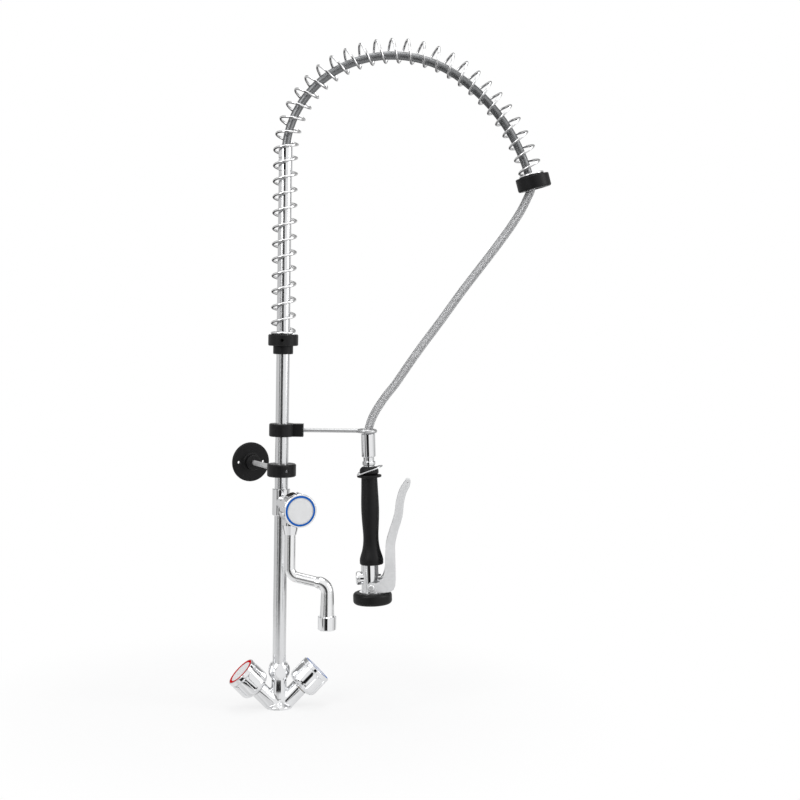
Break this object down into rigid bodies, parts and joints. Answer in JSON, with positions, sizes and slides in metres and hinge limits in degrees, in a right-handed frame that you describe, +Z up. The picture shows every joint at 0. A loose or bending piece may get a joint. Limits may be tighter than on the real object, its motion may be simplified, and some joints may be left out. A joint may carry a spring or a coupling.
{
  "type": "pre rinse faucet",
  "caption": "Deck mixer with a riser, side tap and swivel spout, wall bracket, and a sprung overhead hose feeding a hanging squeeze spray gun.",
  "frame": {"origin": "centre of the stud hole on the underside of the mixer, on the deck's top face", "axes": "+Z up the riser; +X from the hot control to the cold control; +Y towards the wall behind"},
  "size_m": [0.4637, 0.2372, 1.005],
  "materials": {
    "chrome": "polished plating",
    "steel": "bright drawn",
    "braid": "woven wire braid",
    "brass": "machined",
    "black": "fine satin grain",
    "rubber": "matte",
    "grey_cap": "satin",
    "cast_grey": "light grey satin",
    "red_ring": "gloss",
    "blue_ring": "gloss",
    "white_insert": "satin"
  },
  "bodies": {
    "fixture": {"base_body": "chrome", "base_seal": "rubber", "column_nut": "chrome", "column_gasket": "rubber", "lower_riser": "chrome", "upper_riser": "chrome", "hot_cartridge": "brass", "cold_cartridge": "brass", "tap_cartridge": "brass", "tap_body": "chrome", "spout_retainer": "steel", "wall_clamp": "black", "wall_clamp_screw": "steel", "wall_rod": "steel", "wall_flange": "black"},
    "hot_control": {"hot_spindle": "brass", "hot_knob": "chrome", "hot_index_ring": "red_ring", "hot_cap": "grey_cap", "hot_screw": "steel"},
    "cold_control": {"cold_spindle": "brass", "cold_knob": "chrome", "cold_index_ring": "blue_ring", "cold_cap": "grey_cap", "cold_screw": "steel"},
    "tap_control": {"tap_spindle": "brass", "tap_knob": "chrome", "tap_index_ring": "blue_ring", "tap_cap": "grey_cap", "tap_screw": "steel"},
    "spout": {"spout": "chrome", "spout_o_ring": "rubber", "aerator_housing": "chrome", "aerator_insert": "white_insert", "aerator_washer": "rubber"},
    "overhead": {"holder_clamp": "black", "holder_hook": "steel", "overhead_set_screws": "steel", "spring_collar": "black", "spring": "steel", "spring_cap": "black", "hose_nut": "chrome", "hose_gasket": "rubber", "hose_overhead": "braid", "hose_free": "braid", "gun_sleeve": "chrome"},
    "gun": {"gun_neck": "chrome", "gun_tube": "steel", "grip": "black", "valve_body": "chrome", "valve_cap": "chrome", "valve_spring": "steel", "lever_pivots": "steel", "bumper": "rubber", "spray_face": "steel", "spray_screw": "steel"},
    "hold_ring": {"hold_ring": "steel"},
    "lever": {"lever": "cast_grey"},
    "stem": {"valve_stem": "steel", "valve_seal": "rubber"}
  },
  "joints": [
    {"name": "hot_turn", "type": "hinge", "parent": "fixture", "child": "hot_control", "pos_m": [-0.03076, 0, 0.02876], "axis": [-0.7071, 0, 0.7071], "range_deg": [0, 90]},
    {"name": "cold_turn", "type": "hinge", "parent": "fixture", "child": "cold_control", "pos_m": [0.03076, 0, 0.02876], "axis": [0.7071, 0, 0.7071], "range_deg": [0, 90]},
    {"name": "tap_turn", "type": "hinge", "parent": "fixture", "child": "tap_control", "pos_m": [0.00798, -0.06501, 0.308], "axis": [0.1219, -0.9925, 0], "range_deg": [0, 90]},
    {"name": "spout_swivel", "type": "hinge", "parent": "fixture", "child": "spout", "pos_m": [0.00646, -0.0526, 0.267], "axis": [0, 0, 1], "range_deg": [-180, 90]},
    {"name": "overhead_swivel", "type": "hinge", "parent": "fixture", "child": "overhead", "pos_m": [0, 0, 0.804], "axis": [0, 0, 1], "range_deg": [-90, 40]},
    {"name": "gun_swivel", "type": "hinge", "parent": "overhead", "child": "gun", "pos_m": [0.12707, -0.02934, 0.37673], "axis": [-0.0391, 0.009, 0.9992], "continuous": true},
    {"name": "hold_ring_lift", "type": "hinge", "parent": "gun", "child": "hold_ring", "pos_m": [0.11133, -0.0257, 0.35056], "axis": [-0.225, -0.9744, 0], "range_deg": [0, 20]},
    {"name": "lever_squeeze", "type": "hinge", "parent": "gun", "child": "lever", "pos_m": [0.13366, -0.03086, 0.18364], "axis": [-0.225, -0.9744, 0], "range_deg": [0, 12], "stiffness_Nm_per_rad": 1.5, "springref_deg": -8.59},
    {"name": "stem_slide", "type": "slide", "parent": "gun", "child": "stem", "axis": [-0.9736, 0.2248, -0.0401], "range_m": [0, 0.0018], "deforming": ["valve_spring"]}
  ],
  "couplings": [
    {"joint": "stem_slide", "follows": "lever_squeeze", "m_per_rad": 0.0085}
  ]
}
